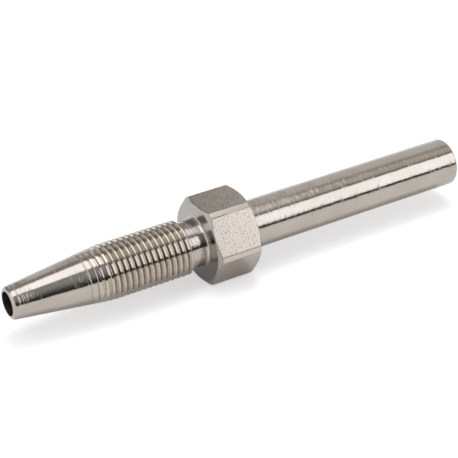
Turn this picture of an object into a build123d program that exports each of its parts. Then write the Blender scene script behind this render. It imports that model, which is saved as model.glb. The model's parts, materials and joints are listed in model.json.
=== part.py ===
from build123d import *
import math
import os

# A threaded nipple, turned in one piece from hexagon bar and bored right through.
# Its axis is X: the tapered nose points to -X and the pipe stub to +X.
# The origin is on the axis in the front face of the hexagon, and one flat faces straight down.
# Lengths are in millimetres and angles in degrees.

# The bore, sharp at the nose and chamfered at the stub's end
BORE_DIAMETER = 3.0
BORE_END_CHAMFER = 0.2

# The length from the tip of the nose to the hexagon, which holds nose, thread and neck
FRONT_LENGTH = 25.0

# The tapered nose, which enters the hose
NOSE_TIP_DIAMETER = 3.95
NOSE_HALF_ANGLE = 6.7
NOSE_TIP_CHAMFER = 0.3

# The right-hand thread, whose first turns are cut low by the taper
THREAD_MAJOR_DIAMETER = 6.9
THREAD_PITCH = 0.75
THREAD_DEPTH = 0.46
THREAD_FLANK_ANGLE = 30.0
THREAD_ROOT_WIDTH = 0.09
THREAD_END_CHAMFER = 0.12

# The neck between thread and hexagon, a little lower than the thread's root
NECK_DIAMETER = 5.9
NECK_LENGTH = 2.3
NECK_CHAMFER = 0.3

# The hexagon, with its corners turned down to a cylinder and both ends chamfered
HEX_ACROSS_FLATS = 10.0
HEX_CORNER_DIAMETER = 11.12
HEX_LENGTH = 6.0
HEX_FACE_DIAMETER = 9.9
HEX_CHAMFER_ANGLE = 30.0

# The plain pipe stub
STUB_DIAMETER = 6.0
STUB_LENGTH = 31.0
STUB_CHAMFER = 0.2
STUB_END_CHAMFER = 0.35

# How far a form that cuts another stands out of it
CUT_MARGIN = 0.1

tip_radius = NOSE_TIP_DIAMETER / 2
crest_radius = THREAD_MAJOR_DIAMETER / 2
root_radius = crest_radius - THREAD_DEPTH
neck_radius = NECK_DIAMETER / 2
face_radius = HEX_FACE_DIAMETER / 2
stub_radius = STUB_DIAMETER / 2
tip_x = -FRONT_LENGTH
thread_end_x = -NECK_LENGTH
stub_end_x = HEX_LENGTH + STUB_LENGTH
taper_slope = math.tan(math.radians(NOSE_HALF_ANGLE))


def taper_x(radius):
    """Place along the axis where the taper reaches this radius."""
    return tip_x + (radius - tip_radius) / taper_slope


def taper_radius(x):
    """Radius of the taper at this place along the axis."""
    return tip_radius + (x - tip_x) * taper_slope


# The groove starts a turn before the taper is as wide as its root, and the threaded section one turn earlier
groove_start_x = taper_x(root_radius) - THREAD_PITCH
section_start_x = groove_start_x - THREAD_PITCH


def turned(points):
    """Solid turned round the axis from a closed outline of (x, radius)."""
    with BuildSketch() as section:
        with BuildLine():
            Polyline(*points, close=True)
        make_face()
    return revolve(section.sketch, axis=Axis.X)


def nose():
    """The plain part of the tapered nose."""
    chamfer_end_x = tip_x + NOSE_TIP_CHAMFER
    return turned(
        [
            (tip_x, 0),
            (tip_x, tip_radius - NOSE_TIP_CHAMFER),
            (chamfer_end_x, taper_radius(chamfer_end_x)),
            (section_start_x, taper_radius(section_start_x)),
            (section_start_x, 0),
        ]
    )


def groove_turn():
    """The first turn of the thread's groove."""
    reach = THREAD_DEPTH + CUT_MARGIN
    root_half = THREAD_ROOT_WIDTH / 2
    mouth_half = root_half + reach * math.tan(math.radians(THREAD_FLANK_ANGLE))
    path = Helix(THREAD_PITCH, THREAD_PITCH, root_radius, center=(groove_start_x, 0, 0), direction=(1, 0, 0))
    start = path @ 0
    along = Vector(1, 0, 0)
    outward = Vector(0, start.Y, start.Z).normalized()
    with BuildSketch(Plane(origin=start, x_dir=along, z_dir=along.cross(outward))) as profile:
        with BuildLine():
            Polyline(
                (-root_half, 0), (root_half, 0), (mouth_half, reach), (-mouth_half, reach), close=True
            )
        make_face()
    return sweep(profile.sketch, path=path, is_frenet=True)


def groove_turns():
    """All turns of the groove, each starting where the one before it ends, up to the air over the neck."""
    turn = groove_turn()
    count = math.ceil((thread_end_x - groove_start_x) / THREAD_PITCH + 0.5)
    return [Pos(step * THREAD_PITCH, 0, 0) * turn for step in range(count)]


def threaded_section():
    """Round bar with the thread cut in it, brought down to the taper and chamfered at its end."""
    length = thread_end_x - section_start_x
    from_start = (Align.CENTER, Align.CENTER, Align.MIN)
    bar = Pos(section_start_x, 0, 0) * Rot(0, 90, 0) * Cylinder(crest_radius, length, align=from_start)
    outer = crest_radius + CUT_MARGIN
    envelope = turned(
        [
            (section_start_x, 0),
            (section_start_x, taper_radius(section_start_x)),
            (taper_x(outer), outer),
            (thread_end_x - THREAD_END_CHAMFER - CUT_MARGIN, outer),
            (thread_end_x, crest_radius - THREAD_END_CHAMFER),
            (thread_end_x, 0),
        ]
    )
    return (bar - groove_turns()) & envelope


def neck_and_stub():
    """The neck, the round core of the hexagon and the pipe stub, with a small cone in both inner corners."""
    return turned(
        [
            (thread_end_x, 0),
            (thread_end_x, neck_radius),
            (-NECK_CHAMFER, neck_radius),
            (0, neck_radius + NECK_CHAMFER),
            (0, face_radius),
            (HEX_LENGTH, face_radius),
            (HEX_LENGTH, stub_radius + STUB_CHAMFER),
            (HEX_LENGTH + STUB_CHAMFER, stub_radius),
            (stub_end_x - STUB_END_CHAMFER, stub_radius),
            (stub_end_x, stub_radius - STUB_END_CHAMFER),
            (stub_end_x, 0),
        ]
    )


def hexagon():
    """Hexagon bar, one flat down, inside a cylinder that turns off its corners and chamfers its ends."""
    bar = extrude(Plane.YZ * RegularPolygon(HEX_ACROSS_FLATS / 2, 6, major_radius=False), HEX_LENGTH)
    corner_radius = HEX_CORNER_DIAMETER / 2
    chamfer_depth = (corner_radius - face_radius) * math.tan(math.radians(HEX_CHAMFER_ANGLE))
    envelope = turned(
        [
            (0, 0),
            (0, face_radius),
            (chamfer_depth, corner_radius),
            (HEX_LENGTH - chamfer_depth, corner_radius),
            (HEX_LENGTH, face_radius),
            (HEX_LENGTH, 0),
        ]
    )
    return bar & envelope


def bore():
    """The space of the bore, widened by the chamfer at the stub's end."""
    bore_radius = BORE_DIAMETER / 2
    return turned(
        [
            (tip_x, 0),
            (tip_x, bore_radius),
            (stub_end_x - BORE_END_CHAMFER, bore_radius),
            (stub_end_x, bore_radius + BORE_END_CHAMFER),
            (stub_end_x, 0),
        ]
    )


def nipple():
    """The whole nipple, as one solid."""
    return nose() + threaded_section() + neck_and_stub() + hexagon() - bore()


os.makedirs("parts", exist_ok=True)
part = nipple()
print("solids", len(part.solids()), "volume", round(part.volume, 1), "valid", part.is_valid)
export_step(part, "parts/nipple.step")
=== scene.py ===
import json
import math

import bmesh
import bpy
from bpy.props import FloatProperty, FloatVectorProperty, IntProperty, PointerProperty
from mathutils import Matrix, Vector


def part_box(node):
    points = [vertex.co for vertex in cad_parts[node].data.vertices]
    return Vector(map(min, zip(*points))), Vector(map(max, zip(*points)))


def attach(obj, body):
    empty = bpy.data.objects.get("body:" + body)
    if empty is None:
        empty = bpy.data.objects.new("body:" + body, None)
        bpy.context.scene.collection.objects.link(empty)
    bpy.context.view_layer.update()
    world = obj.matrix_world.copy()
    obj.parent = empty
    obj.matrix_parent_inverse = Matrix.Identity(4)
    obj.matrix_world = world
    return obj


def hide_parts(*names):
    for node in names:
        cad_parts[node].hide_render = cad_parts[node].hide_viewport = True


bl_info = {
    "name": "Threaded Nipple",
    "version": (1, 0, 0),
    "blender": (4, 5, 0),
    "location": "3D View > Sidebar > Nipple",
    "description": "Builds a nickel-plated threaded nipple and a plain stage for it",
    "category": "Add Mesh",
}

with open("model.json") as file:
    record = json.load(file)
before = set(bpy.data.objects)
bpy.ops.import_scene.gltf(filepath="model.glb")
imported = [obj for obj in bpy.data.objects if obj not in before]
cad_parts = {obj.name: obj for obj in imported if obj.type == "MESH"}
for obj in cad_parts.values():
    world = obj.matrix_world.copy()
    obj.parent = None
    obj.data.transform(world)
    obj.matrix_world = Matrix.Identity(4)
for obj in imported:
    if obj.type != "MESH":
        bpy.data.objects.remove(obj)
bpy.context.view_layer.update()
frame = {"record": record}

MM = 0.001
MOUNTS = {mount["name"]: mount for mount in frame["record"]["mounts"]}
LOW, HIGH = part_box("nipple")
BORE_RADIUS = MOUNTS["bore"]["dims"]["r_mm"] * MM
STUB_RADIUS = MOUNTS["pipe_stub"]["dims"]["r_mm"] * MM

# Vertices round the axis: so many for each sixth of the hexagon, most of them across its flat
SECTORS = 6
PER_SECTOR = 24
AROUND = SECTORS * PER_SECTOR
FLAT_SHARE = 20
CORNER_SHARE = (PER_SECTOR - FLAT_SHARE) // 2

# Steps of faces along the rounds and fillets of the outline
ROUND_STEPS = 7
FINE_STEPS = 8

# How close a ring lies to each end of a straight line, and points to each other that count as one
GUARD = 0.06 * MM
WELD = 2e-6

# Angles from which the hexagon's edges are broken, and from which any edge is shaded sharp
BROKEN_ANGLE = math.radians(8)
SHARP_ANGLE = math.radians(20)

# Height of the turning marks on bright plate
MARK_HEIGHT = 0.018 * MM

# Width of the camera's sensor in millimetres, and the nearest and farthest that it sees in metres
SENSOR_WIDTH = 36.0
CLIP_START = 0.01
CLIP_END = 20.0


def length_property(name, description, default):
    return FloatProperty(name=name, description=description, default=default, min=0.0, precision=5,
                         unit="LENGTH", subtype="DISTANCE")


def place_property(name, description, default):
    return FloatProperty(name=name, description=description, default=default, precision=5,
                         unit="LENGTH", subtype="DISTANCE")


def angle_property(name, description, degrees):
    return FloatProperty(name=name, description=description, default=math.radians(degrees),
                         unit="ROTATION", subtype="ANGLE")


def share_property(name, description, default):
    return FloatProperty(name=name, description=description, default=default, min=0.0, max=1.0,
                         subtype="FACTOR")


def colour_property(name, description, default):
    return FloatVectorProperty(name=name, description=description, default=default, size=3,
                               min=0.0, max=2.0, subtype="COLOR")


class NippleSizes(bpy.types.PropertyGroup):
    """Sizes of the turned form, with the hexagon's front face at x = 0."""

    tip_diameter: length_property("Tip Diameter", "Diameter of the nose at its tip", 3.95 * MM)
    taper_angle: angle_property("Taper Angle", "Half angle of the tapered nose", 6.7)
    tip_round: length_property("Tip Round", "Round on the outer edge of the tip", 0.45 * MM)
    bore_chamfer: length_property("Bore Chamfer", "Chamfer of the bore at the stub's end", 0.2 * MM)

    thread_diameter: length_property("Thread Diameter", "Diameter over the crests", 6.9 * MM)
    thread_pitch: length_property("Thread Pitch", "Distance from crest to crest", 0.75 * MM)
    thread_depth: length_property("Thread Depth", "Depth of the groove below the crests", 0.46 * MM)
    root_width: length_property("Root Width", "Width of the groove's bottom", 0.09 * MM)
    flank_angle: angle_property("Flank Angle", "Half angle of the groove", 30.0)
    groove_place: place_property("Groove Place", "Where a groove crosses the +Y side", -7.735 * MM)
    crest_blend: length_property("Crest Blend", "How softly crests and roots are rounded",
                                 0.12 * MM)
    thread_end_chamfer: length_property("Thread End Chamfer", "Chamfer at the thread's end",
                                        0.12 * MM)
    thread_rows: IntProperty(name="Rows per Turn", description="Rows of faces across one turn",
                             default=22, min=8, max=40)

    neck_diameter: length_property("Neck Diameter", "Diameter of the neck", 5.9 * MM)
    neck_length: length_property("Neck Length", "Length of the neck", 2.3 * MM)
    neck_fillet: length_property("Neck Fillet", "Fillet where the neck meets the hexagon", 0.4 * MM)

    across_flats: length_property("Across Flats", "Width across the hexagon's flats",
                                  HIGH.z - LOW.z)
    corner_diameter: length_property("Corner Diameter", "Diameter over the turned corners",
                                     11.12 * MM)
    hex_length: length_property("Hexagon Length", "Length of the hexagon along the axis", 6.0 * MM)
    face_diameter: length_property("Face Diameter", "Diameter of the hexagon's end faces", 9.9 * MM)
    chamfer_angle: angle_property("Chamfer Angle", "Angle of the hexagon's chamfers", 30.0)
    edge_round: length_property("Edge Round", "Round on the hexagon's sharp edges", 0.06 * MM)

    stub_fillet: length_property("Stub Fillet", "Fillet where the stub meets the hexagon",
                                 0.25 * MM)
    stub_round: length_property("Stub Round", "Round on the end of the stub", 0.45 * MM)


class NippleFinish(bpy.types.PropertyGroup):
    """Colours of the plated metal."""

    nickel: colour_property("Nickel", "Bright turned nickel plate", (0.54, 0.487, 0.434))
    satin: colour_property("Satin", "Satin nickel plate on the hexagon", (0.54, 0.482, 0.420))
    faced: colour_property("Faced", "Plate on the faced ends and chamfers", (0.46, 0.445, 0.43))
    land: colour_property("Land", "Plate on the hexagon's turned corners", (0.62, 0.57, 0.515))
    chamfer: colour_property("Chamfer", "Plate on the hexagon's chamfers", (0.45, 0.41, 0.37))
    edge: colour_property("Edge", "Dull plate on the hexagon's broken edges", (0.37, 0.335, 0.30))
    crest: colour_property("Crest", "Plate worn dull on the thread's crests", (0.57, 0.52, 0.46))
    # Painted highlight: a brighter copy of the nickel, which makes the highlights on the thread's
    # flanks brighter than on the nose
    flank: colour_property("Flank", "Bright plate on the thread's flanks", (0.675, 0.617, 0.55))
    # Painted shade: this dark colour stands in for the shade deep in the thread's grooves
    groove: colour_property("Groove", "Darkened plate deep in the grooves", (0.30, 0.26, 0.21))
    # Painted shade: the bore's plate is dull, and its very dark colour paints the shade in the hole
    bore: colour_property("Bore", "Dull plate inside the bore", (0.16, 0.15, 0.14))


class NippleStage(bpy.types.PropertyGroup):
    """Camera, floor and lamp of the stage."""

    azimuth: angle_property("Azimuth", "Turn of the camera round the upright axis", -29.98)
    elevation: angle_property("Elevation", "Height of the camera over the floor", 30.96)
    roll: angle_property("Roll", "Turn of the camera round its own axis", -1.56)
    distance: length_property("Distance", "From the camera to the hexagon's face", 203.85 * MM)
    slide_right: place_property("Slide Right", "Sideways move of the camera", 3.822 * MM)
    slide_up: place_property("Slide Up", "Upward move of the camera", 1.538 * MM)
    lens: FloatProperty(name="Lens", description="Focal length in millimetres", default=132.98,
                        min=1.0)
    floor_reach: length_property("Floor Reach", "How far the floor runs from the nipple", 3.0)
    floor_colour: colour_property("Floor Colour", "Colour of the floor", (0.78, 0.77, 0.76))
    floor_shade: share_property("Floor Shade", "Share of that colour that the camera sees", 0.68)
    floor_glow: share_property("Floor Glow", "Light that the floor adds for the camera", 0.55)
    mirror_glow: share_property("Mirror Glow", "Light that the floor adds in the metal", 0.07)
    lamp_power: FloatProperty(name="Lamp Power", description="Power of the soft lamp", default=2.4,
                              min=0.0, unit="POWER")
    lamp_size: length_property("Lamp Size", "Width and height of the soft lamp", 0.35)
    lamp_place: FloatVectorProperty(name="Lamp Place", description="Place of the soft lamp, which "
                                    "faces the nipple", default=(0.15, 0.12, 0.90), size=3,
                                    unit="LENGTH", subtype="TRANSLATION")


class NippleStudio(bpy.types.PropertyGroup):
    """Colours of the studio that the metal mirrors."""

    softbox: colour_property("Softbox", "Softbox over the nose and thread", (1.82, 1.86, 1.93))
    softbox_end: colour_property("Softbox End", "Weaker end over the stub", (0.64, 0.61, 0.575))
    panel: colour_property("Panel", "Panel in front, to the right", (1.74, 1.78, 1.87))
    dim: colour_property("Dim Wall", "Dim wall behind the softbox", (0.36, 0.345, 0.33))
    dark: colour_property("Dark Wall", "Darker wall behind the thread", (0.16, 0.15, 0.145))
    back_light: colour_property("Back Light", "Lit parts of the back wall", (0.75, 0.76, 0.78))
    side: colour_property("Side", "Bright side beyond the nose", (1.1, 1.1, 1.12))
    horizon: colour_property("Horizon", "White background", (1.0, 1.0, 1.0))


class Term:
    """A socket of a node tree that takes part in sums as a number does."""

    def __init__(self, shop, socket):
        self.shop = shop
        self.socket = socket

    def math(self, operation, *others):
        return self.shop.math(operation, self, *others)

    def __add__(self, other):
        return self.math("ADD", other)

    def __sub__(self, other):
        return self.math("SUBTRACT", other)

    def __mul__(self, other):
        return self.math("MULTIPLY", other)

    def __truediv__(self, other):
        return self.math("DIVIDE", other)

    def __rsub__(self, other):
        return self.shop.math("SUBTRACT", other, self)

    __radd__ = __add__

    def step(self, low, high):
        """Rises smoothly from 0 at low to 1 at high."""
        settings = {"interpolation_type": "SMOOTHSTEP"}
        inputs = {"Value": self, "From Min": low, "From Max": high}
        return self.shop.node("ShaderNodeMapRange", settings, inputs, "Result")


class Shop:
    """A node tree and the one way in which nodes are added to it."""

    def __init__(self, tree):
        self.tree = tree
        tree.nodes.clear()

    def node(self, kind, settings, inputs, output):
        """Adds a node, makes its settings, then its inputs, and returns one output."""
        node = self.tree.nodes.new(kind)
        for name, value in settings.items():
            setattr(node, name, value)
        for key, value in inputs.items():
            self.feed(node.inputs[key], value)
        return Term(self, node.outputs[output]) if output is not None else node

    def feed(self, socket, value):
        if isinstance(value, Term):
            self.tree.links.new(value.socket, socket)
        elif socket.type == "RGBA":
            socket.default_value = (*value, 1.0)
        else:
            socket.default_value = value

    def math(self, operation, *values):
        return self.node("ShaderNodeMath", {"operation": operation}, dict(enumerate(values)), 0)

    def vector(self, x, y, z):
        return self.node("ShaderNodeCombineXYZ", {}, {"X": x, "Y": y, "Z": z}, 0)

    def parts(self, vector):
        return [self.node("ShaderNodeSeparateXYZ", {}, {0: vector}, axis) for axis in "XYZ"]

    def blend(self, factor, first, second):
        """Mixes two colours."""
        settings = {"data_type": "RGBA"}
        return self.node("ShaderNodeMix", settings, {0: factor, 6: first, 7: second}, 2)

    def noise(self, vector, scale, detail, roughness):
        inputs = {"Vector": vector, "Scale": scale, "Detail": detail, "Roughness": roughness}
        return self.node("ShaderNodeTexNoise", {}, inputs, 0)


def thread_tree():
    """Geometry Nodes tree that lays a sheet of faces along the thread's helix."""
    tree = bpy.data.node_groups.new("thread_cutter", "GeometryNodeTree")
    shop = Shop(tree)
    names = ["Start", "End", "Pitch", "Crest Radius", "Root Radius", "Root Width", "Flank Slope",
             "Groove Place", "Blend", "End Chamfer", "Taper Start", "Taper Radius", "Taper Slope",
             "Turns"]
    for name in names:
        tree.interface.new_socket(name, in_out="INPUT", socket_type="NodeSocketFloat")
    for name in ("Around", "Rows"):
        tree.interface.new_socket(name, in_out="INPUT", socket_type="NodeSocketInt")
    tree.interface.new_socket("Metal", in_out="INPUT", socket_type="NodeSocketMaterial")
    tree.interface.new_socket("Geometry", in_out="OUTPUT", socket_type="NodeSocketGeometry")
    source = shop.node("NodeGroupInput", {}, {}, None)
    given = {socket.name: Term(shop, socket) for socket in source.outputs if socket.name}

    inputs = {"Size X": 1.0, "Size Y": 1.0,
              "Vertices X": given["Around"], "Vertices Y": given["Rows"]}
    sheet = shop.node("GeometryNodeMeshGrid", {}, inputs, "Mesh")
    place = shop.node("GeometryNodeInputPosition", {}, {}, 0)
    across, along, _ = shop.parts(place)
    turn = across + 0.5
    angle = turn * math.tau

    pitch = given["Pitch"]
    x = given["Start"] + (along + 0.5) * given["Turns"] * pitch + (turn - 1.0) * pitch
    x = x.math("MAXIMUM", given["Start"]).math("MINIMUM", given["End"])

    phase = (x - given["Groove Place"]) / pitch - turn + 0.5
    from_groove = (phase.math("FRACT") - 0.5).math("ABSOLUTE") * pitch
    flank = given["Root Radius"] + (from_groove - given["Root Width"] * 0.5) * given["Flank Slope"]
    radius = flank.math("SMOOTH_MAX", given["Root Radius"], given["Blend"])
    radius = radius.math("SMOOTH_MIN", given["Crest Radius"], given["Blend"])
    radius = radius.math("MINIMUM", given["Crest Radius"] - given["End Chamfer"] + given["End"] - x)
    taper = given["Taper Radius"] + (x - given["Taper Start"]) * given["Taper Slope"]
    radius = radius.math("MINIMUM", taper)

    wrapped = shop.vector(x, radius * angle.math("COSINE"), radius * angle.math("SINE"))
    bent = shop.node("GeometryNodeSetPosition", {}, {"Geometry": sheet, "Position": wrapped}, 0)
    real = shop.node("GeometryNodeRealizeInstances", {}, {"Geometry": bent}, 0)
    inputs = {"Geometry": real, "Material": given["Metal"]}
    plated = shop.node("GeometryNodeSetMaterial", {}, inputs, 0)
    shop.node("NodeGroupOutput", {}, {"Geometry": plated}, None)
    return tree


def thread_mesh(sizes, taper_slope, start, end, metal):
    """The threaded surface as a plain mesh, open at both ends."""
    turns = math.ceil((end - start) / sizes.thread_pitch) + 1
    values = {
        "Start": start,
        "End": end,
        "Pitch": sizes.thread_pitch,
        "Crest Radius": sizes.thread_diameter / 2,
        "Root Radius": sizes.thread_diameter / 2 - sizes.thread_depth,
        "Root Width": sizes.root_width,
        "Flank Slope": 1 / math.tan(sizes.flank_angle),
        "Groove Place": sizes.groove_place,
        "Blend": sizes.crest_blend,
        "End Chamfer": sizes.thread_end_chamfer,
        "Taper Start": LOW.x,
        "Taper Radius": sizes.tip_diameter / 2,
        "Taper Slope": taper_slope,
        "Turns": float(turns),
        "Around": AROUND + 1,
        "Rows": turns * sizes.thread_rows + 1,
        "Metal": metal,
    }
    tree = thread_tree()
    blank = bpy.data.objects.new("thread_blank", bpy.data.meshes.new("thread_blank"))
    bpy.context.scene.collection.objects.link(blank)
    modifier = blank.modifiers.new("thread", "NODES")
    modifier.node_group = tree
    for item in tree.interface.items_tree:
        if item.in_out == "INPUT":
            modifier[item.identifier] = values[item.name]
    seen = blank.evaluated_get(bpy.context.evaluated_depsgraph_get())
    mesh = bpy.data.meshes.new_from_object(seen)
    blank.modifiers.clear()
    bpy.data.objects.remove(blank)
    return mesh


def arc(centre_x, centre_radius, radius, from_angle, to_angle, steps):
    """Points of a round in the outline, its angles in degrees from +X towards +radius."""
    points = []
    for step in range(steps + 1):
        angle = math.radians(from_angle + (to_angle - from_angle) * step / steps)
        points.append((centre_x + radius * math.cos(angle),
                       centre_radius + radius * math.sin(angle)))
    return points


def even_angles():
    return [math.tau * step / AROUND for step in range(AROUND)]


def hexagon_angles(corner_turn):
    """Angles round the hexagon, with lines of vertices on both edges of each turned corner."""
    flat_half = math.pi / SECTORS - corner_turn
    angles = []
    for sector in range(SECTORS):
        middle = math.pi / SECTORS + sector * math.tau / SECTORS
        for step in range(CORNER_SHARE):
            angles.append(middle - math.pi / SECTORS + corner_turn * step / CORNER_SHARE)
        for step in range(FLAT_SHARE + 1):
            angles.append(middle - flat_half + 2 * flat_half * step / FLAT_SHARE)
        for step in range(1, CORNER_SHARE):
            angles.append(middle + flat_half + corner_turn * step / CORNER_SHARE)
    return angles


class Lathe:
    """Adds rings of vertices and the faces between them to one mesh."""

    def __init__(self):
        self.mesh = bmesh.new()

    def ring(self, xs, radii, angles):
        return [self.mesh.verts.new((x, radius * math.cos(angle), radius * math.sin(angle)))
                for x, radius, angle in zip(xs, radii, angles)]

    def even_ring(self, x, radius):
        return self.ring([x] * AROUND, [radius] * AROUND, even_angles())

    def skin(self, first, second, metal):
        faces = []
        for step in range(AROUND):
            after = (step + 1) % AROUND
            face = self.mesh.faces.new((first[step], first[after], second[after], second[step]))
            face.material_index = metal
            faces.append(face)
        return faces

    def turn(self, outline, metal, first=None):
        """Turns an outline of (x, radius), starting at a given ring, and returns its last ring."""
        last = first
        for x, radius in outline:
            ring = self.even_ring(x, radius)
            if last:
                self.skin(last, ring, metal)
            last = ring
        return last


def run(start, end):
    """Straight line of the outline with a ring close to each end, which keeps its shading flat."""
    (x0, r0), (x1, r1) = start, end
    share = GUARD / math.hypot(x1 - x0, r1 - r0)
    places = (0.0, share, 0.5, 1.0 - share, 1.0)
    return [(x0 + (x1 - x0) * place, r0 + (r1 - r0) * place) for place in places]


# The places of the metals in the mesh's list of materials
TURNED, THREAD, SATIN, FACED, CHAMFER, LAND, EDGE, BORE = range(8)


def build_nipple(sizes, metals):
    """The whole nipple as one closed mesh."""
    lathe = Lathe()
    taper_slope = math.tan(sizes.taper_angle)
    tip_radius = sizes.tip_diameter / 2
    root_radius = sizes.thread_diameter / 2 - sizes.thread_depth
    neck_radius = sizes.neck_diameter / 2
    face_radius = sizes.face_diameter / 2
    thread_end = -sizes.neck_length
    # The threaded surface starts two turns before the taper is as wide as the grooves' root
    thread_start = LOW.x + (root_radius - tip_radius) / taper_slope - 2 * sizes.thread_pitch

    taper_degrees = math.degrees(sizes.taper_angle)
    round_x = LOW.x + sizes.tip_round
    round_radius = (tip_radius + (round_x - LOW.x) * taper_slope
                    - sizes.tip_round / math.cos(sizes.taper_angle))
    tip = arc(round_x, round_radius, sizes.tip_round, 180, 90 + taper_degrees, ROUND_STEPS)
    taper_end = (thread_start, tip_radius + (thread_start - LOW.x) * taper_slope)
    tip_ring = lathe.turn([(LOW.x, BORE_RADIUS), tip[0]], TURNED)
    lathe.turn(tip[1:-1] + run(tip[-1], taper_end), TURNED, tip_ring)

    thread = thread_mesh(sizes, taper_slope, thread_start, thread_end, metals[THREAD])
    before = len(lathe.mesh.faces)
    lathe.mesh.from_mesh(thread)
    lathe.mesh.faces.ensure_lookup_table()
    for index in range(before, len(lathe.mesh.faces)):
        lathe.mesh.faces[index].material_index = THREAD
    bmesh.ops.remove_doubles(lathe.mesh, verts=lathe.mesh.verts[:], dist=WELD)
    thread_rim = [vertex for vertex in lathe.mesh.verts
                  if vertex.is_boundary and abs(vertex.co.x - thread_end) < WELD]
    thread_rim.sort(key=lambda vertex: math.atan2(vertex.co.z, vertex.co.y) % math.tau)
    if len(thread_rim) != AROUND:
        raise RuntimeError(f"the thread's end has {len(thread_rim)} points and needs {AROUND}")

    fillet = sizes.neck_fillet
    neck_round = arc(-fillet, neck_radius + fillet, fillet, 270, 360, FINE_STEPS)
    neck_start = lathe.even_ring(thread_end, neck_radius)
    lathe.skin(thread_rim, neck_start, THREAD)
    neck = run((thread_end, neck_radius), neck_round[0])
    neck_rim = lathe.turn(neck[1:] + neck_round[1:], TURNED, neck_start)
    face_middle = lathe.turn([(0.0, (neck_radius + fillet + face_radius) / 2)], FACED, neck_rim)

    hex_rim = build_hexagon(lathe, sizes, face_middle)

    fillet = sizes.stub_fillet
    stub_round = arc(sizes.hex_length + fillet, STUB_RADIUS + fillet, fillet, 180, 270, ROUND_STEPS)
    end_round = arc(HIGH.x - sizes.stub_round, STUB_RADIUS - sizes.stub_round, sizes.stub_round,
                    90, 0, FINE_STEPS)
    rear_middle = (sizes.hex_length, (STUB_RADIUS + fillet + face_radius) / 2)
    rear = lathe.turn([rear_middle, stub_round[0]], FACED, hex_rim)
    stub = stub_round[1:-1] + run(stub_round[-1], end_round[0]) + end_round[1:]
    stub_rim = lathe.turn(stub, TURNED, rear)
    bore_start = (HIGH.x - sizes.bore_chamfer, BORE_RADIUS)
    bore_mouth = (HIGH.x, BORE_RADIUS + sizes.bore_chamfer)
    mouth = lathe.turn([bore_mouth, bore_start], FACED, stub_rim)
    lathe.turn(run(bore_start, (LOW.x, BORE_RADIUS))[1:], BORE, mouth)

    bmesh.ops.remove_doubles(lathe.mesh, verts=lathe.mesh.verts[:], dist=WELD)
    bmesh.ops.dissolve_degenerate(lathe.mesh, dist=WELD / 4, edges=lathe.mesh.edges[:])
    bmesh.ops.recalc_face_normals(lathe.mesh, faces=lathe.mesh.faces[:])
    rounded = round_hexagon_edges(lathe.mesh, sizes)
    for face in lathe.mesh.faces:
        face.smooth = True
    for edge in lathe.mesh.edges:
        sides = [face in rounded for face in edge.link_faces]
        edge.smooth = sides[0] == sides[-1] and edge.calc_face_angle(0.0) < SHARP_ANGLE
    open_edges = [edge for edge in lathe.mesh.edges if len(edge.link_faces) != 2]
    if open_edges:
        raise RuntimeError(f"the nipple has {len(open_edges)} open edges")
    mesh = bpy.data.meshes.new("nipple_body")
    lathe.mesh.to_mesh(mesh)
    lathe.mesh.free()
    return mesh


def build_hexagon(lathe, sizes, front):
    """The hexagon from its front face to the edge of its rear face, and returns that edge."""
    half = sizes.across_flats / 2
    corner_radius = sizes.corner_diameter / 2
    face_radius = sizes.face_diameter / 2
    corner_turn = math.pi / SECTORS - math.acos(half / corner_radius)
    angles = hexagon_angles(corner_turn)
    slope = math.tan(sizes.chamfer_angle)
    radii = []
    for angle in angles:
        from_middle = (angle % (math.tau / SECTORS)) - math.pi / SECTORS
        radii.append(min(half / math.cos(from_middle), corner_radius))
    depths = [(radius - face_radius) * slope for radius in radii]
    length = sizes.hex_length
    rows = [
        ([0.0] * AROUND, [face_radius] * AROUND),
        (depths, radii),
        ([length * 0.5] * AROUND, radii),
        ([length - depth for depth in depths], radii),
        ([length] * AROUND, [face_radius] * AROUND),
    ]
    rings = [lathe.ring(xs, row, angles) for xs, row in rows]
    lathe.skin(front, rings[0], FACED)
    lathe.skin(rings[0], rings[1], CHAMFER)
    sides = lathe.skin(rings[1], rings[2], SATIN) + lathe.skin(rings[2], rings[3], SATIN)
    for step, face in enumerate(sides):
        if not CORNER_SHARE <= step % PER_SECTOR < PER_SECTOR - CORNER_SHARE:
            face.material_index = LAND
    lathe.skin(rings[3], rings[4], CHAMFER)
    return rings[-1]


def round_hexagon_edges(mesh, sizes):
    """Breaks the sharp edges round the hexagon's flats, corners and chamfers."""
    inner = sizes.face_diameter / 2 + WELD

    def on_hexagon(vertex):
        along = -WELD < vertex.co.x < sizes.hex_length + WELD
        return along and math.hypot(vertex.co.y, vertex.co.z) > inner

    edges = [edge for edge in mesh.edges
             if all(on_hexagon(vertex) for vertex in edge.verts)
             and edge.calc_face_angle() > BROKEN_ANGLE]
    made = bmesh.ops.bevel(mesh, geom=edges, offset=sizes.edge_round, offset_type="OFFSET",
                           segments=2, profile=0.5, affect="EDGES", clamp_overlap=True,
                           material=EDGE)
    return set(made["faces"])


def shade(colour, share):
    """A colour at a share of its brightness."""
    return tuple(share * part for part in colour)


def bump(shop, height, distance, strength=1.0, below=None):
    """The normal of a surface that this height raises by up to this distance."""
    inputs = {"Strength": strength, "Distance": distance, "Height": height}
    if below is not None:
        inputs["Normal"] = below
    return shop.node("ShaderNodeBump", {}, inputs, "Normal")


def turning_marks(shop, place, along, across, detail, roughness):
    """Noise that changes this many times in a millimetre along the axis and across it."""
    x, y, z = shop.parts(place)
    stretched = shop.vector(x * (along / MM), y * (across / MM), z * (across / MM))
    return shop.noise(stretched, scale=1.0, detail=detail, roughness=roughness)


def turned_bump(shop, place, marks_per_mm, height, below=None):
    """Fine marks that run round the axis, and the normal that they give with slow waves."""
    fine = turning_marks(shop, place, marks_per_mm, across=0.9, detail=3.0, roughness=0.6)
    slow = turning_marks(shop, place, along=0.5, across=0.3, detail=1.0, roughness=0.5)
    return fine, bump(shop, fine + slow * 2.0, height, below=below)


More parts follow.
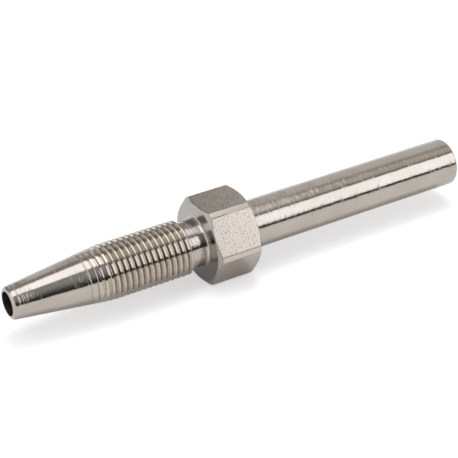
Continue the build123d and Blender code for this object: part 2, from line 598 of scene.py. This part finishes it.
def plate(name, build):
    """A metal whose base colour, roughness and normal come from one function."""
    material = bpy.data.materials.new(name)
    material.use_nodes = True
    shop = Shop(material.node_tree)
    place = shop.node("ShaderNodeTexCoord", {}, {}, "Object")
    colour, roughness, normal = build(shop, place)
    inputs = {"Base Color": colour, "Metallic": 1.0, "Roughness": roughness, "Normal": normal}
    surface = shop.node("ShaderNodeBsdfPrincipled", {}, inputs, "BSDF")
    shop.node("ShaderNodeOutputMaterial", {}, {"Surface": surface}, None)
    return material


def bright_finish(shop, place, finish, height):
    """Colour, roughness and normal of bright plate over turning marks, deeper on the nose."""
    x, _, _ = shop.parts(place)
    from_tip = x - LOW.x
    # The deeper rings cover the tip and, weaker, the nose just before the thread
    tip = (3.6 * MM - from_tip).step(0.0, 2.4 * MM)
    run_out = from_tip.step(5.0 * MM, 7.5 * MM) * (10.5 * MM - from_tip).step(0.0, 2.0 * MM)
    rings = turning_marks(shop, place, along=3.6, across=0.0, detail=2.0, roughness=0.6)
    ringed = bump(shop, rings * (tip + run_out * 0.4), distance=0.12 * MM)
    marks, normal = turned_bump(shop, place, marks_per_mm=3.3, height=height, below=ringed)
    cloud = shop.noise(place, scale=260.0, detail=3.0, roughness=0.5)
    colour = shop.blend(cloud.step(0.35, 0.7), shade(finish.nickel, 0.93), finish.nickel)
    dull_spots = marks.step(0.56, 0.68)
    roughness = 0.08 + marks * 0.06 + dull_spots * 0.14 + cloud * 0.04
    return colour, roughness, normal


def turned_nickel(finish):
    """Bright plate on nose, neck and stub."""
    def build(shop, place):
        return bright_finish(shop, place, finish, MARK_HEIGHT)
    return plate("turned_nickel", build)


def thread_nickel(finish, sizes):
    """Plate on the thread, dull on the crests, with a brighter colour on the flanks that paints
    brighter highlights and a dark colour at the bottom of the grooves that paints shade.
    """
    crest = sizes.thread_diameter / 2
    full_depth = sizes.thread_depth

    def build(shop, place):
        x, y, z = shop.parts(place)
        first_cut, full_cut = -16.4 * MM, -13.4 * MM
        cut = x.step(first_cut, full_cut)
        mark_height = MARK_HEIGHT - cut * 0.014 * MM
        plain, roughness, normal = bright_finish(shop, place, finish, mark_height)
        radius = (y * y + z * z).math("SQRT")
        taper = (x - LOW.x) * math.tan(sizes.taper_angle) + sizes.tip_diameter / 2
        depth = taper.math("MINIMUM", crest) - radius
        # Painted shade: height falls to 0 over the lowest part of each groove, where the groove
        # colour paints the shade
        height = 1.0 - depth.step(0.6 * full_depth, full_depth)
        top = 1.0 - depth.step(0.03 * full_depth, 0.25 * full_depth)
        # The flanks take the brighter nickel, a painted highlight, and the grooves' bottoms the
        # dark painted shade
        sides = shop.blend(height, finish.groove, finish.flank)
        colour = shop.blend(cut, plain, shop.blend(top, sides, finish.crest))
        roughness = roughness * (1.0 - cut) + (0.15 - height * 0.06) * cut
        return colour, roughness, normal
    return plate("thread_nickel", build)


def satin_nickel(finish):
    """Speckled satin plate on the hexagon."""
    def build(shop, place):
        grain = shop.noise(place, scale=4500.0, detail=3.0, roughness=0.6)
        cloud = shop.noise(place, scale=900.0, detail=3.0, roughness=0.55)
        mix = grain * 0.85 + cloud * 0.15
        colour = shop.blend(mix.step(0.39, 0.47), shade(finish.satin, 0.70), finish.satin)
        roughness = 0.17 + cloud * 0.08
        return colour, roughness, bump(shop, mix, distance=0.009 * MM)
    return plate("satin_nickel", build)


def faced_nickel(name, plated):
    """Plate over the fine rings of a cut, on end faces, chamfers, corners and edges."""
    def build(shop, place):
        x, y, z = shop.parts(place)
        radius = (y * y + z * z).math("SQRT")
        rings_across = shop.vector(radius, x, 0.0)
        rings = shop.noise(rings_across, scale=4500.0, detail=3.0, roughness=0.6)
        cloud = shop.noise(place, scale=500.0, detail=2.0, roughness=0.5)
        colour = shop.blend(cloud, shade(plated, 0.9), plated)
        roughness = 0.13 + rings * 0.10
        return colour, roughness, bump(shop, rings, distance=0.004 * MM, strength=0.35)
    return plate(name, build)


def shaded_bore_nickel(finish):
    """Dull plate inside the bore, with a very dark colour that paints the shade in the hole."""
    def build(shop, place):
        marks, normal = turned_bump(shop, place, marks_per_mm=5.0, height=0.010 * MM)
        colour = shop.blend(marks, finish.bore, shade(finish.bore, 0.6))
        roughness = 0.4 + marks * 0.1
        return colour, roughness, normal
    return plate("shaded_bore_nickel", build)


class NIPPLE_OT_body(bpy.types.Operator):
    """Build the turned nipple with its thread and plate"""

    bl_idname = "nipple.body"
    bl_label = "Nipple"

    def execute(self, context):
        sizes = context.scene.nipple_sizes
        finish = context.scene.nipple_finish
        metals = [
            turned_nickel(finish),
            thread_nickel(finish, sizes),
            satin_nickel(finish),
            faced_nickel("faced_nickel", finish.faced),
            faced_nickel("chamfer_nickel", finish.chamfer),
            faced_nickel("land_nickel", finish.land),
            faced_nickel("edge_nickel", finish.edge),
            shaded_bore_nickel(finish),
        ]
        mesh = build_nipple(sizes, metals)
        for metal in metals:
            mesh.materials.append(metal)
        body = bpy.data.objects.new("nipple_body", mesh)
        context.scene.collection.objects.link(body)
        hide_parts("nipple")
        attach(body, "root")
        return {"FINISHED"}


def studio_world(scene):
    """Soft studio round the nipple, as the metal mirrors it.

    Each light is a zone of directions. Its limits are in rise, the angle in degrees from the front
    (0) over the top (90) to the back (180), and in x. Seen by the camera, the nose mirrors x from
    about 0.10 to 0.22, the thread 0.30 to 0.41, and neck and stub 0.41 to 0.55.
    """
    studio = scene.nipple_studio
    world = bpy.data.worlds.new("studio")
    world.use_nodes = True
    scene.world = world
    shop = Shop(world.node_tree)
    x, y, z = shop.parts(shop.node("ShaderNodeTexCoord", {}, {}, "Generated"))
    degrees = 180 / math.pi
    rise = z.math("ARCTAN2", y * -1.0) * degrees
    right = x.step(0.15, 0.62)
    before_neck = (0.41 - x).step(0.0, 0.03)

    front = 0.03 + rise.step(8.0, 48.0) * (0.33 - right * 0.31)
    front_colour = shop.vector(front, front * 1.03, front * 1.07)
    wall_right = rise.step(105.0, 124.0) * x.step(0.40, 0.46)
    wall_left = rise.step(127.0, 139.0) * x.step(0.05, 0.12) * (0.30 - x).step(0.0, 0.04)
    thread_dark = x.step(0.24, 0.32) * before_neck * rise.step(126.0, 138.0)
    dim = shop.blend(thread_dark, studio.dim, studio.dark)
    back = shop.blend(wall_right + wall_left, dim, studio.back_light)
    room = shop.blend(rise.step(65.0, 70.0), front_colour, back)

    by_thread = x.step(0.30, 0.36) * before_neck
    start = 67.0 + by_thread * 7.0
    end = 110.0 + by_thread * 6.0
    soft = 3.0 + right * 14.0
    risen = ((rise - start) / soft).step(0.0, 1.0)
    left_over = ((end - rise) / soft).step(0.0, 1.0)
    softbox = shop.blend(x.step(0.385, 0.435), studio.softbox, studio.softbox_end)
    room = shop.blend(risen * left_over, room, softbox)

    foot = 11.5 + (0.47 - x).math("MAXIMUM", 0.0) * 120.0
    head = 62.5 - (0.45 - x).math("MAXIMUM", 0.0) * 80.0
    panel = (rise - foot).step(-0.8, 0.8) * (head - rise).step(-0.8, 0.8) * x.step(0.32, 0.38)
    room = shop.blend(panel, room, studio.panel)

    far_left = (x * -1.0).step(0.55, 0.85)
    room = shop.blend(far_left, room, studio.side)
    horizon = y.step(-0.2, 0.1) * x.step(-0.4, 0.0) * 7.0
    above = (z.math("ARCSINE") * degrees - horizon).step(-0.5, 0.5)
    room = shop.blend(above, studio.horizon, room)
    camera = shop.node("ShaderNodeLightPath", {}, {}, "Is Camera Ray")
    room = shop.blend(camera, room, studio.horizon)
    light = shop.node("ShaderNodeBackground", {}, {"Color": room, "Strength": 1.0}, 0)
    shop.node("ShaderNodeOutputWorld", {}, {"Surface": light}, None)


def pale_floor(stage):
    """Plain floor that shows white to the camera and in the metal, and keeps the shadow."""
    material = bpy.data.materials.new("pale_floor")
    material.use_nodes = True
    shop = Shop(material.node_tree)
    rays = ("Is Camera Ray", "Is Glossy Ray", "Is Transmission Ray")
    camera, glossy, through = [shop.node("ShaderNodeLightPath", {}, {}, ray) for ray in rays]
    glow = camera * stage.floor_glow + (glossy + through) * stage.mirror_glow
    colour = tuple(stage.floor_colour)
    shown = shop.blend(camera, colour, shade(colour, stage.floor_shade))
    matt = shop.node("ShaderNodeBsdfDiffuse", {}, {"Color": shown}, 0)
    lift = shop.node("ShaderNodeEmission", {}, {"Color": (1.0, 1.0, 1.0), "Strength": glow}, 0)
    both = shop.node("ShaderNodeAddShader", {}, {0: matt, 1: lift}, 0)
    shop.node("ShaderNodeOutputMaterial", {}, {"Surface": both}, None)
    return material


def place_camera(scene, stage):
    """Camera at the photograph's angle."""
    azimuth, elevation, roll = stage.azimuth, stage.elevation, stage.roll
    back = Vector((math.sin(azimuth) * math.cos(elevation),
                   -math.cos(azimuth) * math.cos(elevation),
                   math.sin(elevation)))
    level = Vector((math.cos(azimuth), math.sin(azimuth), 0.0))
    steep = back.cross(level)
    right = level * math.cos(roll) + steep * math.sin(roll)
    up = steep * math.cos(roll) - level * math.sin(roll)
    place = back * stage.distance + right * stage.slide_right + up * stage.slide_up
    turn = Matrix((right, up, back)).transposed().to_4x4()
    camera_data = bpy.data.cameras.new("camera")
    camera_data.lens = stage.lens
    camera_data.sensor_width = SENSOR_WIDTH
    camera_data.clip_start = CLIP_START
    camera_data.clip_end = CLIP_END
    camera = bpy.data.objects.new("camera", camera_data)
    camera.matrix_world = Matrix.Translation(place) @ turn
    scene.collection.objects.link(camera)
    scene.camera = camera


class NIPPLE_OT_stage(bpy.types.Operator):
    """Set up the floor, the light and the camera"""

    bl_idname = "nipple.stage"
    bl_label = "Stage"

    def execute(self, context):
        scene = context.scene
        stage = scene.nipple_stage
        reach = stage.floor_reach
        corners = [(-reach, -reach, LOW.z), (reach, -reach, LOW.z),
                   (reach, reach, LOW.z), (-reach, reach, LOW.z)]
        mesh = bpy.data.meshes.new("floor")
        mesh.from_pydata(corners, [], [(0, 1, 2, 3)])
        mesh.materials.append(pale_floor(stage))
        floor = bpy.data.objects.new("floor", mesh)
        scene.collection.objects.link(floor)

        lamp_data = bpy.data.lights.new("softbox", "AREA")
        lamp_data.shape = "RECTANGLE"
        lamp_data.size = stage.lamp_size
        lamp_data.size_y = stage.lamp_size
        lamp_data.energy = stage.lamp_power
        lamp = bpy.data.objects.new("softbox", lamp_data)
        lamp.visible_glossy = False
        place = Vector(stage.lamp_place)
        facing = place.to_track_quat("Z", "Y").to_matrix().to_4x4()
        lamp.matrix_world = Matrix.Translation(place) @ facing
        scene.collection.objects.link(lamp)

        studio_world(scene)
        place_camera(scene, stage)
        scene.view_settings.view_transform = "Standard"
        return {"FINISHED"}


class NIPPLE_PT_panel(bpy.types.Panel):
    """Lists the steps and values of the nipple"""

    bl_label = "Threaded Nipple"
    bl_space_type = "VIEW_3D"
    bl_region_type = "UI"
    bl_category = "Nipple"

    def draw(self, context):
        layout = self.layout
        scene = context.scene
        for step in (NIPPLE_OT_body, NIPPLE_OT_stage):
            layout.operator(step.bl_idname)
        for group in (scene.nipple_sizes, scene.nipple_finish, scene.nipple_stage,
                      scene.nipple_studio):
            box = layout.box()
            for name in group.__annotations__:
                box.prop(group, name)


CLASSES = (NippleSizes, NippleFinish, NippleStage, NippleStudio, NIPPLE_OT_body, NIPPLE_OT_stage,
           NIPPLE_PT_panel)


def register():
    for item in CLASSES:
        bpy.utils.register_class(item)
    bpy.types.Scene.nipple_sizes = PointerProperty(type=NippleSizes)
    bpy.types.Scene.nipple_finish = PointerProperty(type=NippleFinish)
    bpy.types.Scene.nipple_stage = PointerProperty(type=NippleStage)
    bpy.types.Scene.nipple_studio = PointerProperty(type=NippleStudio)


def unregister():
    del bpy.types.Scene.nipple_studio
    del bpy.types.Scene.nipple_stage
    del bpy.types.Scene.nipple_finish
    del bpy.types.Scene.nipple_sizes
    for item in reversed(CLASSES):
        bpy.utils.unregister_class(item)


def main():
    register()
    bpy.ops.nipple.body()
    bpy.ops.nipple.stage()


if __name__ == "__main__":
    main()
